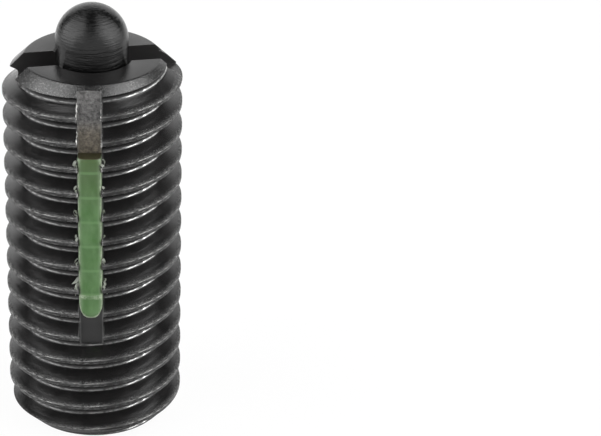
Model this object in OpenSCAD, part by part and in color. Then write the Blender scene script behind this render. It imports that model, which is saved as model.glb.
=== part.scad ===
// Spring plunger: threaded sleeve with a spring-loaded round-nosed pin, a driver slot at the pin
// end, a hexagon socket at the other end and a plastic locking strip in the thread.
// Millimetres. Stands on its socket end, centred on Z, with the pin up and the strip facing -Y.

/* [Thread] */
// Diameter over the thread crests (M10 with its tolerance)
thread_d = 9.86; // [9.7:0.02:10]
// Pitch of the right-hand thread
pitch = 1.5; // [1.25:0.25:1.5]
// Depth of the thread gap below the crests
thread_depth = 0.87; // [0.7:0.01:0.9]
// Width of the land left on each crest
crest_land = 0.22; // [0.16:0.01:0.26]
// Turn of the whole thread about its axis, in degrees
thread_turn = 214; // [0:1:360]

/* [Sleeve] */
// Length of the sleeve
sleeve_l = 22; // [20:0.5:30]
// Diameter of the flat at the pin end, inside the chamfer
pin_face_d = 7.5; // [7.3:0.1:8.1]
// Diameter of the flat at the socket end, inside the chamfer
socket_face_d = 7.8; // [7.4:0.1:8.2]
// Thickness of the front wall that holds the pin's head back
front_wall = 3; // [2.5:0.1:4]
// Depth of the bevel round the pin's hole
hole_bevel = 0.2; // [0.1:0.05:0.3]
// Diameter of the bore
bore_d = 5.5; // [5.3:0.1:5.8]
// Depth of the bevel at the bore's open end
bore_bevel = 0.15; // [0.1:0.05:0.25]

/* [Driver slot] */
// Width of the slot
slot_w = 1.9; // [1.4:0.1:2.2]
// Depth of the slot
slot_depth = 1.2; // [0.8:0.1:1.6]
// Direction of the slot, in degrees from the X axis
slot_angle = 10; // [0:5:45]

/* [Locking strip] */
// Width of the groove and of the strip in it
strip_w = 1.3; // [1:0.1:1.6]
// Distance from the axis to the groove's floor, just below the thread's root
groove_floor = 3.98; // [3.8:0.02:4]
// Height of the groove's closed end above the socket end
groove_start = 6.2; // [5:0.1:7]
// Free length of groove below the strip
strip_offset = 1.9; // [0:0.1:3]
// Length of the strip
strip_l = 10; // [8:0.5:12]
// Length of the strip's rounded lower end
strip_end_l = 1.05; // [0.65:0.05:1.3]
// How far the strip's face lies below the thread crests
strip_recess = 0.03; // [0:0.01:0.1]

/* [Thrust pin] */
// Diameter of the pin and of its round nose
pin_d = 4; // [3.5:0.1:4.2]
// Projection of the pin, which is also its travel
pin_travel = 3; // [2:0.1:3.4]
// Diametral clearance of the pin in the front wall
pin_clearance = 0.06; // [0.04:0.01:0.12]
// Length of the pin's head
head_l = 4; // [3:0.1:5]
// Diametral clearance of the head in the bore
head_clearance = 0.1; // [0.06:0.02:0.16]
// Bevel on the head's edges
head_bevel = 0.3; // [0.1:0.05:0.4]

/* [Spring] */
// Diameter of the spring wire
wire_d = 0.8; // [0.6:0.05:0.85]
// Diametral clearance of the spring in the bore
spring_clearance = 0.4; // [0.3:0.05:0.6]
// Number of coils, with the two closed end coils
coils = 7; // [6:1:8]

/* [Socket plug] */
// Length of the plug
plug_l = 4.5; // [4:0.1:5]
// Width across the flats of the hexagon
socket_af = 3; // [2.5:0.5:3]
// Bevel round the plug's visible edge
plug_bevel = 0.15; // [0.1:0.05:0.25]
// Diameter of the shallow counterbore in the plug's face
counterbore_d = 4.4; // [4.2:0.1:4.6]
// Depth of the shallow counterbore
counterbore_depth = 0.12; // [0.05:0.01:0.2]
// Diameter of the countersink at the counterbore's floor
countersink_d = 4; // [3.8:0.1:4.1]

/* [Hidden] */
$fn = 96;

crest_r = thread_d / 2;
root_r = crest_r - thread_depth;
flank_slope = tan(30);
root_land = pitch - crest_land - 2 * thread_depth * flank_slope;
thread_steps = 40;
// The cutter reaches this far outside the crests, so that its flats clear the round surface
cutter_overlap = 0.09;

bore_l = sleeve_l - front_wall;
bore_r = bore_d / 2;
cut = 1;

pin_r = pin_d / 2;
pin_tip_z = sleeve_l + pin_travel;
head_r = (bore_d - head_clearance) / 2;
head_back_z = bore_l - head_l;

spring_l = head_back_z - plug_l;
coil_r = (bore_d - spring_clearance - wire_d) / 2;
wire_sides = 8;
coil_steps = 28;
// The end coils lie wire to wire, and each end is ground flat
closed_pitch = wire_d;
ground = wire_d / 4;
open_pitch = (spring_l - wire_d + 2 * ground - 2 * closed_pitch) / (coils - 2);

socket_corner_r = socket_af / sqrt(3);

strip_face_r = crest_r - strip_recess;
strip_start = groove_start + strip_offset;

// Solid swept along points: each ring holds the same number of corners, and both ends are closed
module swept_solid(rings) {
    sides = len(rings[0]);
    last = (len(rings) - 1) * sides;
    points = [for (ring = rings) for (corner = ring) corner];
    walls = [
        for (i = [0 : len(rings) - 2])
            for (j = [0 : sides - 1])
                let (a = i * sides + j, b = i * sides + (j + 1) % sides)
                    each [[a, b, b + sides], [a, b + sides, a + sides]]
    ];
    start_cap = [[for (j = [sides - 1 : -1 : 0]) j]];
    end_cap = [[for (j = [0 : sides - 1]) last + j]];
    polyhedron(points, concat(start_cap, walls, end_cap), convexity = 10);
}

// The thread gap: a 60 degree trapezoid that winds right-handed past both ends of the sleeve
module thread_gap() {
    outer_r = crest_r + cutter_overlap;
    half_outer = root_land / 2 + (outer_r - root_r) * flank_slope;
    half_root = root_land / 2;
    section = [
        [root_r, -half_root],
        [outer_r, -half_outer],
        [outer_r, half_outer],
        [root_r, half_root]
    ];
    steps = ceil((sleeve_l / pitch + 2) * thread_steps);
    rings = [
        for (i = [0 : steps])
            let (angle = 360 * i / thread_steps, rise = pitch * (i / thread_steps - 1))
                [for (p = section) [p[0] * cos(angle), p[0] * sin(angle), rise + p[1]]]
    ];
    rotate([0, 0, thread_turn]) swept_solid(rings);
}

// Turned blank of the sleeve: 45 degree chamfers at both ends
module sleeve_blank() {
    socket_r = socket_face_d / 2;
    face_r = pin_face_d / 2;
    rotate_extrude()
        polygon([
            [0, 0],
            [socket_r, 0],
            [crest_r, crest_r - socket_r],
            [crest_r, sleeve_l - (crest_r - face_r)],
            [face_r, sleeve_l],
            [0, sleeve_l]
        ]);
}

// Stepped bore: wide from the socket end to the front wall, then the pin's hole
module sleeve_bore() {
    hole_r = (pin_d + pin_clearance) / 2;
    rotate_extrude()
        polygon([
            [0, -cut],
            [bore_r + bore_bevel + cut, -cut],
            [bore_r, bore_bevel],
            [bore_r, bore_l],
            [hole_r, bore_l],
            [hole_r, sleeve_l - hole_bevel],
            [hole_r + hole_bevel + cut, sleeve_l + cut],
            [0, sleeve_l + cut]
        ]);
}

module driver_slot() {
    rotate([0, 0, slot_angle])
        translate([-thread_d, -slot_w / 2, sleeve_l - slot_depth])
            cube([2 * thread_d, slot_w, slot_depth + cut]);
}

module strip_groove() {
    translate([-strip_w / 2, -thread_d, groove_start])
        cube([strip_w, thread_d - groove_floor, sleeve_l]);
}

module sleeve() {
    color("dimgray")
        difference() {
            sleeve_blank();
            thread_gap();
            sleeve_bore();
            driver_slot();
            strip_groove();
        }
}

// Pin with a full round nose and a bevelled head that stops at the front wall
module thrust_pin() {
    nose_z = pin_tip_z - pin_r;
    color("dimgray") {
        rotate_extrude()
            polygon([
                [0, head_back_z],
                [head_r - head_bevel, head_back_z],
                [head_r, head_back_z + head_bevel],
                [head_r, bore_l - head_bevel],
                [head_r - head_bevel, bore_l],
                [pin_r, bore_l],
                [pin_r, nose_z],
                [0, nose_z]
            ]);
        rotate_extrude()
            translate([0, nose_z])
                intersection() {
                    circle(r = pin_r);
                    square([pin_r, pin_r]);
                }
    }
}

// Height of the wire's centre after a number of turns
function wire_z(turn) =
    plug_l + wire_d / 2 - ground
    + closed_pitch * min(turn, 1)
    + open_pitch * max(0, min(turn - 1, coils - 2))
    + closed_pitch * max(0, turn - (coils - 1));

module compression_spring() {
    steps = coils * coil_steps;
    rings = [
        for (i = [0 : steps])
            let (angle = 360 * i / coil_steps, height = wire_z(i / coil_steps))
                [
                    for (j = [0 : wire_sides - 1])
                        let (
                            around = 360 * j / wire_sides,
                            r = coil_r + wire_d / 2 * cos(around)
                        )
                            [r * cos(angle), r * sin(angle), height + wire_d / 2 * sin(around)]
                ]
    ];
    color("gainsboro")
        intersection() {
            swept_solid(rings);
            translate([0, 0, plug_l]) cylinder(h = spring_l, d = bore_d);
        }
}

// Plug with a hexagon right through and a countersunk, stepped face
module socket_plug() {
    countersink_r = countersink_d / 2;
    color("dimgray")
        difference() {
            rotate_extrude()
                polygon([
                    [0, 0],
                    [bore_r - plug_bevel, 0],
                    [bore_r, plug_bevel],
                    [bore_r, plug_l],
                    [0, plug_l]
                ]);
            translate([0, 0, -cut]) cylinder(h = cut + counterbore_depth, d = counterbore_d);
            translate([0, 0, counterbore_depth])
                cylinder(h = countersink_r, r1 = countersink_r, r2 = 0);
            translate([0, 0, -cut])
                rotate([0, 0, 30])
                    cylinder(h = plug_l + 2 * cut, r = socket_corner_r, $fn = 6);
        }
}

// Strip with a half-elliptic lower end, filling the groove's width up to the crests
module locking_strip() {
    half_w = strip_w / 2;
    strip_top = strip_start + strip_l;
    end_steps = 24;
    lower_end = [
        for (i = [0 : end_steps])
            let (angle = 180 + 180 * i / end_steps)
                [half_w * cos(angle), strip_start + strip_end_l * (1 + sin(angle))]
    ];
    color("yellowgreen")
        intersection() {
            translate([0, -groove_floor, 0])
                rotate([90, 0, 0])
                    linear_extrude(height = crest_r)
                        polygon(concat(lower_end, [[half_w, strip_top], [-half_w, strip_top]]));
            cylinder(h = sleeve_l, r = strip_face_r);
        }
}

sleeve();
thrust_pin();
compression_spring();
socket_plug();
locking_strip();
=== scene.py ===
# Spring plunger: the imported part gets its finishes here.
# Pieces are modelled in millimetres and brought to metres when they are done, in the part's own frame.
import math
import random

import bpy
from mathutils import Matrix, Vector


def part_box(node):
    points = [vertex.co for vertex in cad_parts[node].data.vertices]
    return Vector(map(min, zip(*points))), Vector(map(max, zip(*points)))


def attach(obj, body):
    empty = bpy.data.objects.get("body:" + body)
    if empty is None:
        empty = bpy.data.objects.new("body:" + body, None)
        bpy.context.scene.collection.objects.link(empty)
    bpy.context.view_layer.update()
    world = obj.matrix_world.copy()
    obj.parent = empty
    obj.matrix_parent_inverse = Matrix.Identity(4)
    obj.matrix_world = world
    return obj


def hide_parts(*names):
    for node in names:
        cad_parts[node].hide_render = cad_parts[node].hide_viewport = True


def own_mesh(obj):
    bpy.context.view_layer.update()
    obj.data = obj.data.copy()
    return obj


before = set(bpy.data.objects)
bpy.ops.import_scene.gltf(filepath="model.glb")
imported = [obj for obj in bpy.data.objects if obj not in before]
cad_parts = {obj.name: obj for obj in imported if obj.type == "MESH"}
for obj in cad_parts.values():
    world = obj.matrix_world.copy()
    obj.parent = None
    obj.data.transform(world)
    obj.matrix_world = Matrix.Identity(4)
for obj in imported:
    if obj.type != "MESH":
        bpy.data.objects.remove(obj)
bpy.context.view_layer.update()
mm = 0.001


def nodeBox(name):
    low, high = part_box(name)
    return low / mm, high / mm


sleeveHigh = nodeBox("sleeve")[1]
pinLow, pinHigh = nodeBox("thrust_pin")
springLow, springHigh = nodeBox("compression_spring")
plugHigh = nodeBox("socket_plug")[1]
stripLow, stripHigh = nodeBox("locking_strip")

crestR = sleeveHigh.x
sleeveTop = sleeveHigh.z
boreR = plugHigh.x
print("frame loaded, sleeve", round(sleeveTop, 2), "mm long,", round(2 * crestR, 2), "mm wide")


def pickOnly(piece):
    bpy.ops.object.select_all(action="DESELECT")
    piece.select_set(True)
    bpy.context.view_layer.objects.active = piece


def selectVertices(piece, test):
    # in edit mode: selects the vertices whose place passes the test, and nothing else
    bpy.ops.mesh.select_mode(type="VERT")
    bpy.ops.mesh.select_all(action="DESELECT")
    bpy.ops.object.mode_set(mode="OBJECT")
    for vertex in piece.data.vertices:
        vertex.select = test(vertex.co)
    bpy.ops.object.mode_set(mode="EDIT")


def drawOutline(name, points, closed=True):
    # one vertex, extruded from point to point in the XZ plane; points are (x, z)
    bpy.ops.object.select_all(action="DESELECT")
    bpy.ops.mesh.primitive_plane_add(size=1, location=(0, 0, 0))
    piece = bpy.context.object
    piece.name = name
    bpy.ops.object.mode_set(mode="EDIT")
    bpy.ops.mesh.select_all(action="SELECT")
    bpy.ops.mesh.merge(type="CENTER")
    bpy.ops.transform.translate(value=(points[0][0], 0, points[0][1]))
    for before, after in zip(points, points[1:]):
        step = (after[0] - before[0], 0, after[1] - before[1])
        bpy.ops.mesh.extrude_region_move(TRANSFORM_OT_translate={"value": step})
    if closed:
        ends = [Vector((p[0], 0, p[1])) for p in (points[0], points[-1])]
        selectVertices(piece, lambda co: min((co - end).length for end in ends) < 1e-4)
        bpy.ops.mesh.edge_face_add()
    bpy.ops.object.mode_set(mode="OBJECT")
    return piece


def spinRound(piece, steps=96):
    # turns the outline about Z, closes the seam and points the faces outwards
    pickOnly(piece)
    bpy.ops.object.mode_set(mode="EDIT")
    bpy.ops.mesh.select_all(action="SELECT")
    bpy.ops.mesh.spin(steps=steps, angle=2 * math.pi, center=(0, 0, 0), axis=(0, 0, 1))
    bpy.ops.mesh.select_all(action="SELECT")
    bpy.ops.mesh.remove_doubles(threshold=1e-4)
    bpy.ops.mesh.normals_make_consistent(inside=False)
    bpy.ops.object.mode_set(mode="OBJECT")


def arc(centre, radius, fromDeg, toDeg, steps):
    angles = [math.radians(fromDeg + (toDeg - fromDeg) * i / steps) for i in range(steps + 1)]
    return [(centre[0] + radius * math.cos(a), centre[1] + radius * math.sin(a)) for a in angles]


def roundCorners(piece, corners, width, segments=3):
    # bevels the outline's vertices that lie at the given (radius, height) places
    pickOnly(piece)
    bpy.ops.object.mode_set(mode="EDIT")
    places = [Vector((c[0], 0, c[1])) for c in corners]
    selectVertices(piece, lambda co: min((co - place).length for place in places) < 1e-3)
    bpy.ops.mesh.bevel(offset=width, segments=segments, affect="VERTICES")
    bpy.ops.object.mode_set(mode="OBJECT")


def cutAway(piece, cutter, solver="MANIFOLD"):
    pickOnly(piece)
    bpy.ops.object.modifier_add(type="BOOLEAN")
    modifier = piece.modifiers[-1]
    modifier.operation = "DIFFERENCE"
    modifier.solver = solver
    modifier.object = cutter
    bpy.ops.object.modifier_apply(modifier=modifier.name)
    bpy.data.objects.remove(cutter)


def addBox(name, low, high):
    middle = [(a + b) / 2 for a, b in zip(low, high)]
    bpy.ops.object.select_all(action="DESELECT")
    bpy.ops.mesh.primitive_cube_add(size=1, location=middle, scale=[b - a for a, b in zip(low, high)])
    piece = bpy.context.object
    piece.name = name
    return piece


def finishPiece(piece, body, material, smoothDeg=35):
    # to metres, with the place in the mesh; then its shading, material and body
    pickOnly(piece)
    bpy.ops.object.transform_apply(location=True, rotation=True, scale=True)
    piece.scale = (mm, mm, mm)
    bpy.ops.object.transform_apply(location=True, rotation=True, scale=True)
    if smoothDeg:
        bpy.ops.object.shade_smooth_by_angle(angle=math.radians(smoothDeg))
    piece.data.materials.clear()
    piece.data.materials.append(material)
    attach(piece, body)
    print(piece.name, "done,", len(piece.data.polygons), "faces")
    return piece


def linear(hexColour):
    values = [int(hexColour[i:i + 2], 16) / 255 for i in (1, 3, 5)]
    return [v / 12.92 if v <= 0.04045 else ((v + 0.055) / 1.055) ** 2.4 for v in values] + [1.0]


def perMm(size):
    # texture scale, per metre, for a feature of this size in millimetres
    return 1 / (size * mm)


def addNode(tree, kind, settings=None, links=None):
    # links go from a node's first output, or from the one named in a pair (node, output)
    node = tree.nodes.new("ShaderNode" + kind)
    for name, value in (settings or {}).items():
        if isinstance(name, int) or name in node.inputs:
            node.inputs[name].default_value = value
        else:
            setattr(node, name, value)
    for name, origin in (links or {}).items():
        source, output = origin if isinstance(origin, tuple) else (origin, 0)
        tree.links.new(source.outputs[output], node.inputs[name])
    return node


def newMaterial(name):
    material = bpy.data.materials.new(name)
    material.use_nodes = True
    tree = material.node_tree
    tree.nodes.clear()
    shader = addNode(tree, "BsdfPrincipled")
    addNode(tree, "OutputMaterial", {}, {"Surface": (shader, "BSDF")})
    return material, tree, shader


# Black oxide on cut steel: a thin dark magnetite skin, kept in oil. It is satin black and nearly
# without colour, the crests and burrs are rubbed to bare steel, and the cutter's lines run round.
oxide = {
    "dark": "#171717",
    "lighter": "#232222",
    "worn": "#999998",
    # colour of the root's painted highlight line
    "rootHighlight": "#CACAC9",
    # paler colour of the slot's walls: painted light that lifts their shade
    "slot": "#353434",
    "chamfer": "#555555",
    "floor": "#807F7E",
    "floorDark": "#434241",
    "residue": "#8D8475",
    "residueDark": "#544F46",
    "mark": "#A3A3A2",
    # sizes of the patterns and depths of their bumps, in mm
    "grain": 0.08,             # pits of the oxide skin
    "grainDeep": 0.007,
    "speckle": 0.075,          # rubbed grains on the crests
    "speckleDeep": 0.036,
    "streakWidth": 0.05,       # streaks along the crests
    "streakLength": 0.3,
    "streakDeep": 0.05,
    "cloud": 0.9,              # patches of thinner oil
    "smear": 0.22,             # patches on the groove's floor
    "lines": 0.07,             # spacing of the cutter's lines
    "lineDeep": 0.006,
    # places of the wear in mm; a pair is where it starts and where it is full
    "shadeBandX": 1.3,               # middle of the band where painted shade cuts back the crests' wear
    "shadeBandReach": (0.4, 0.9),
    "rootHighlightX": (1.6, 2.1),      # the root's painted highlight starts here and is full here, in x
    "crestDown": (0.36, 0.02), # rubbed flanks, below the crest's top
    "landDown": (0.05, 0.03),  # the crest's flat land, below its top
    "edgeReach": (0.055, 0.015),   # either side of the crest's upper edge
    "edgeRound": 0.06,         # an edge counts as rubbed within this radius
    "footUp": 0.1,             # painted highlight line on the flank, this far from the middle of the root
    "footReach": (0.05, 0.02),
    "rootSlack": 0.1,          # how near the root's depth a place counts as on it
    "coneSlack": 0.03,         # how near a chamfer's cone a place counts as on it
    "coneShadeSides": (2.7, 3.7),   # between these the chamfer's bare steel fades to the dark skin: painted shade towards its sides
    "floorSlack": 0.012,
    "floorWide": 1.02,         # the groove's floor, as a share of the strip's half width
    "floorLine": (0.56, 0.6),  # bright line along either side of that floor
    "paleDown": 1,             # the groove's floor is paler from here below the strip's top
    "residueUp": (2.1, 0.9),   # residue of the strip, above its top
    "burrX": 0.675,            # bright edge beside the groove: middle, and half its width
    "burrHalf": 0.045,
    "burrUp": 0.08,            # and how far above the groove's floor it starts
    "burrFaint": 6.0,          # height at which the groove's bright edge is faintest
    "burrFull": 1.6,           # and height above the strip's top where it is full
    "slotSlack": 0.01,
    "bandY": 0.95,             # marking bands: middle, half their width, and how far up they reach
    "bandHalf": 0.37,
    "bandUp": 0.2,
}


def makeOxideSteel(name, grooveFloor, stripTop):
    material, tree, shader = newMaterial(name)
    place = addNode(tree, "TexCoord")
    xyz = addNode(tree, "SeparateXYZ", {}, {"Vector": (place, "Object")})
    flat = addNode(tree, "VectorMath", {"operation": "MULTIPLY", 1: (1, 1, 0)}, {0: (place, "Object")})
    radius = addNode(tree, "VectorMath", {"operation": "LENGTH"}, {0: (flat, "Vector")})
    around = addNode(tree, "VectorMath", {"operation": "NORMALIZE"}, {0: (flat, "Vector")})

    # cutter's lines: slow round the axis, fast across it
    slant = addNode(tree, "Math", {"operation": "ADD"}, {0: (xyz, "Z"), 1: (radius, "Value")})
    fast = addNode(tree, "Math", {"operation": "MULTIPLY", 1: perMm(oxide["lines"])}, {0: slant})
    lift = addNode(tree, "CombineXYZ", {}, {"Z": fast})
    slow = addNode(tree, "VectorMath", {"operation": "MULTIPLY_ADD", 1: (3, 3, 3)},
                   {0: (around, "Vector"), 2: (lift, "Vector")})
    lines = addNode(tree, "TexNoise", {"Scale": 1.0, "Detail": 2.0, "Roughness": 0.6},
                    {"Vector": (slow, "Vector")})

    clouds = addNode(tree, "TexNoise", {"Scale": perMm(oxide["cloud"]), "Detail": 4.0},
                     {"Vector": (place, "Object")})
    grain = addNode(tree, "TexNoise", {"Scale": perMm(oxide["grain"]), "Detail": 3.0, "Roughness": 0.7},
                    {"Vector": (place, "Object")})
    speckle = addNode(tree, "TexNoise",
                      {"Scale": perMm(oxide["speckle"]), "Detail": 2.0, "Roughness": 0.7},
                      {"Vector": (place, "Object")})

    # place across the thread, in millimetres from the middle of the crest
    angle = addNode(tree, "Math", {"operation": "ARCTAN2"}, {0: (xyz, "Y"), 1: (xyz, "X")})
    wholeTurns = 10            # keeps the count of turns above zero
    climb = addNode(tree, "Math",
                    {"operation": "MULTIPLY_ADD", 1: perMm(sleeve["pitch"]),
                     2: wholeTurns + sleeve["turn"] / 360},
                    {0: (xyz, "Z")})
    wound = addNode(tree, "Math", {"operation": "MULTIPLY_ADD", 1: -0.5 / math.pi}, {0: angle, 2: climb})
    part = addNode(tree, "Math", {"operation": "FRACT"}, {0: wound})
    across = addNode(tree, "Math",
                     {"operation": "MULTIPLY_ADD", 1: sleeve["pitch"], 2: -sleeve["pitch"] / 2},
                     {0: part})
    streakLift = addNode(tree, "Math", {"operation": "MULTIPLY", 1: 1 / oxide["streakWidth"]},
                         {0: across})
    streakZ = addNode(tree, "CombineXYZ", {}, {"Z": streakLift})
    along = crestR / oxide["streakLength"]
    streakPlace = addNode(tree, "VectorMath", {"operation": "MULTIPLY_ADD", 1: (along, along, along)},
                          {0: (around, "Vector"), 2: (streakZ, "Vector")})
    streaks = addNode(tree, "TexNoise", {"Scale": 1.0, "Detail": 3.0, "Roughness": 0.6},
                      {"Vector": (streakPlace, "Vector")})

    # painted shade and highlight round the thread: the crests' wear is cut back in a band just beside the
    # groove, as painted shade, and the root's bright line is kept to one side, as a painted highlight
    fromShadeBand = addNode(tree, "Math", {"operation": "SUBTRACT", 1: oxide["shadeBandX"] * mm}, {0: (xyz, "X")})
    shadeBandAway = addNode(tree, "Math", {"operation": "ABSOLUTE"}, {0: fromShadeBand})
    crestShadeBand = addNode(tree, "MapRange",
                     {"From Min": oxide["shadeBandReach"][0] * mm, "From Max": oxide["shadeBandReach"][1] * mm,
                      "To Min": 0.3},
                     {"Value": shadeBandAway})
    # painted highlight: the root's bright line shows only beyond this x
    rootHighlightSide = addNode(tree, "MapRange",
                      {"From Min": oxide["rootHighlightX"][0] * mm, "From Max": oxide["rootHighlightX"][1] * mm,
                       "To Min": 0.3},
                      {"Value": (xyz, "X")})

    # where the skin is rubbed: along the crest's upper edge, in streaks on its land, and in grains
    # beside them and on the chamfer
    crest = addNode(tree, "MapRange",
                    {"interpolation_type": "SMOOTHSTEP",
                     "From Min": (crestR - oxide["crestDown"][0]) * mm,
                     "From Max": (crestR - oxide["crestDown"][1]) * mm},
                    {"Value": (radius, "Value")})
    land = addNode(tree, "MapRange",
                   {"From Min": (crestR - oxide["landDown"][0]) * mm,
                    "From Max": (crestR - oxide["landDown"][1]) * mm},
                   {"Value": (radius, "Value")})
    fromEdge = addNode(tree, "Math", {"operation": "SUBTRACT", 1: sleeve["crestHalf"]}, {0: across})
    fromEdgeAbs = addNode(tree, "Math", {"operation": "ABSOLUTE"}, {0: fromEdge})
    upperEdge = addNode(tree, "MapRange",
                        {"From Min": oxide["edgeReach"][0], "From Max": oxide["edgeReach"][1]},
                        {"Value": fromEdgeAbs})
    edgeTorn = addNode(tree, "MapRange", {"From Min": 0.42, "From Max": 0.56, "To Max": 1.0},
                       {"Value": (streaks, "Fac")})
    edgeHere = addNode(tree, "Math", {"operation": "MULTIPLY"}, {0: upperEdge, 1: crest})
    edgeWear = addNode(tree, "Math", {"operation": "MULTIPLY"}, {0: edgeHere, 1: edgeTorn})
    landTorn = addNode(tree, "MapRange", {"From Min": 0.5, "From Max": 0.64, "To Max": 0.4},
                       {"Value": (streaks, "Fac")})
    landWear = addNode(tree, "Math", {"operation": "MULTIPLY"}, {0: land, 1: landTorn})
    facing = addNode(tree, "NewGeometry")
    eased = addNode(tree, "Bevel", {"samples": 6, "Radius": oxide["edgeRound"] * mm})
    same = addNode(tree, "VectorMath", {"operation": "DOT_PRODUCT"},
                   {0: (eased, "Normal"), 1: (facing, "Normal")})
    edge = addNode(tree, "MapRange", {"From Min": 0.99, "From Max": 0.85}, {"Value": (same, "Value")})
    cone = addNode(tree, "Math",
                   {"operation": "COMPARE", 1: (sleeveTop + sleeve["pinFaceR"]) * mm,
                    2: oxide["coneSlack"] * mm},
                   {0: slant})
    rubbedSoft = addNode(tree, "Math", {"operation": "MAXIMUM"}, {0: crest, 1: edge})
    coneSoft = addNode(tree, "Math", {"operation": "MULTIPLY", 1: 0.75}, {0: cone})
    rubbed = addNode(tree, "Math", {"operation": "MAXIMUM"}, {0: rubbedSoft, 1: coneSoft})
    sparse = addNode(tree, "Math", {"operation": "MULTIPLY_ADD", 1: 0.16},
                     {0: rubbed, 2: (speckle, "Fac")})
    grains = addNode(tree, "MapRange", {"From Min": 0.66, "From Max": 0.78, "To Max": 0.7},
                     {"Value": sparse})
    offLand = addNode(tree, "Math", {"operation": "MULTIPLY_ADD", 1: -0.8, 2: 1.0}, {0: land})
    grainsShaded = addNode(tree, "Math", {"operation": "MULTIPLY"}, {0: grains, 1: crestShadeBand})
    grainsHere = addNode(tree, "Math", {"operation": "MULTIPLY"}, {0: grainsShaded, 1: offLand})
    rubbedGrains = addNode(tree, "Math", {"operation": "MULTIPLY"}, {0: rubbed, 1: grainsHere})
    crestAll = addNode(tree, "Math", {"operation": "MAXIMUM"}, {0: edgeWear, 1: landWear})
    crestWear = addNode(tree, "Math", {"operation": "MULTIPLY"}, {0: crestAll, 1: crestShadeBand})
    rubbedWear = addNode(tree, "Math", {"operation": "MAXIMUM"}, {0: crestWear, 1: rubbedGrains})

    # painted highlight: a bright line, coloured as burnished steel, at the foot of the upper flank just
    # above the root, kept to one side where the light falls on it
    footOff = addNode(tree, "Math", {"operation": "SUBTRACT", 1: sleeve["pitch"] / 2 - oxide["footUp"]},
                      {0: across})
    footAway = addNode(tree, "Math", {"operation": "ABSOLUTE"}, {0: footOff})
    foot = addNode(tree, "MapRange",
                   {"From Min": oxide["footReach"][0], "From Max": oxide["footReach"][1]},
                   {"Value": footAway})
    footTorn = addNode(tree, "MapRange",
                       {"From Min": 0.4, "From Max": 0.62, "To Min": 0.06, "To Max": 1.0},
                       {"Value": (streaks, "Fac")})
    footHighlight = addNode(tree, "Math", {"operation": "MULTIPLY"}, {0: foot, 1: rootHighlightSide})
    footHere = addNode(tree, "Math", {"operation": "MULTIPLY"}, {0: footHighlight, 1: footTorn})
    deep = addNode(tree, "Math",
                   {"operation": "COMPARE", 1: (crestR - sleeve["threadDepth"]) * mm,
                    2: oxide["rootSlack"] * mm},
                   {0: (radius, "Value")})
    root = addNode(tree, "Math", {"operation": "MULTIPLY"}, {0: footHere, 1: deep})

    # the groove was milled after the thread: its flat floor is paler above the strip, and its edges
    # are thin bright burrs
    sideways = addNode(tree, "Math", {"operation": "ABSOLUTE"}, {0: (xyz, "X")})
    inside = addNode(tree, "Math", {"operation": "LESS_THAN", 1: stripHigh.x * oxide["floorWide"] * mm},
                     {0: sideways})
    depth = addNode(tree, "Math",
                    {"operation": "COMPARE", 1: -grooveFloor * mm, 2: oxide["floorSlack"] * mm},
                    {0: (xyz, "Y")})
    floorMask = addNode(tree, "Math", {"operation": "MULTIPLY"}, {0: inside, 1: depth})
    above = addNode(tree, "Math", {"operation": "GREATER_THAN", 1: (stripTop - oxide["paleDown"]) * mm},
                    {0: (xyz, "Z")})
    paleFloor = addNode(tree, "Math", {"operation": "MULTIPLY"}, {0: floorMask, 1: above})
    floorSide = addNode(tree, "MapRange",
                        {"From Min": oxide["floorLine"][0] * mm, "From Max": oxide["floorLine"][1] * mm,
                         "To Max": 0.3},
                        {"Value": sideways})
    floorLine = addNode(tree, "Math", {"operation": "MULTIPLY"}, {0: floorMask, 1: floorSide})
    burrSide = addNode(tree, "Math",
                       {"operation": "COMPARE", 1: oxide["burrX"] * mm, 2: oxide["burrHalf"] * mm},
                       {0: sideways})
    burrDeep = addNode(tree, "Math", {"operation": "LESS_THAN", 1: -(grooveFloor + oxide["burrUp"]) * mm},
                       {0: (xyz, "Y")})
    burrHigh = addNode(tree, "MapRange",
                       {"From Min": oxide["burrFaint"] * mm,
                        "From Max": (stripTop + oxide["burrFull"]) * mm, "To Min": 0.15},
                       {"Value": (xyz, "Z")})
    burrAbove = addNode(tree, "Math", {"operation": "GREATER_THAN", 1: sleeve["grooveStart"] * mm},
                        {0: (xyz, "Z")})
    burrTorn = addNode(tree, "MapRange", {"From Min": 0.4, "From Max": 0.55}, {"Value": (clouds, "Fac")})
    burrWear = burrSide
    for share in (burrDeep, burrAbove, burrHigh, burrTorn):
        burrWear = addNode(tree, "Math", {"operation": "MULTIPLY"}, {0: burrWear, 1: share})
    outside = addNode(tree, "Math", {"operation": "SUBTRACT", 0: 1.0}, {1: floorMask})
    rootHighlightMask = addNode(tree, "Math", {"operation": "MULTIPLY"}, {0: root, 1: outside})
    wear = rubbedWear
    for share in (floorLine, rootHighlightMask, burrWear):
        wear = addNode(tree, "Math", {"operation": "MAXIMUM"}, {0: wear, 1: share})

    dragged = addNode(tree, "MapRange",
                      {"interpolation_type": "SMOOTHSTEP",
                       "From Min": (stripTop + oxide["residueUp"][0]) * mm,
                       "From Max": (stripTop + oxide["residueUp"][1]) * mm},
                      {"Value": (xyz, "Z")})
    smear = addNode(tree, "TexNoise", {"Scale": perMm(oxide["smear"]), "Detail": 5.0, "Roughness": 0.7},
                    {"Vector": (place, "Object")})
    mottle = addNode(tree, "MapRange", {"From Min": 0.38, "From Max": 0.62}, {"Value": (smear, "Fac")})
    floorGrey = addNode(tree, "Mix",
                        {"data_type": "RGBA", 6: linear(oxide["floorDark"]), 7: linear(oxide["floor"])},
                        {0: mottle})
    floorBrown = addNode(tree, "Mix",
                         {"data_type": "RGBA", 6: linear(oxide["residueDark"]),
                          7: linear(oxide["residue"])},
                         {0: mottle})
    floorColour = addNode(tree, "Mix", {"data_type": "RGBA"},
                          {0: dragged, 6: (floorGrey, 2), 7: (floorBrown, 2)})
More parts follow.
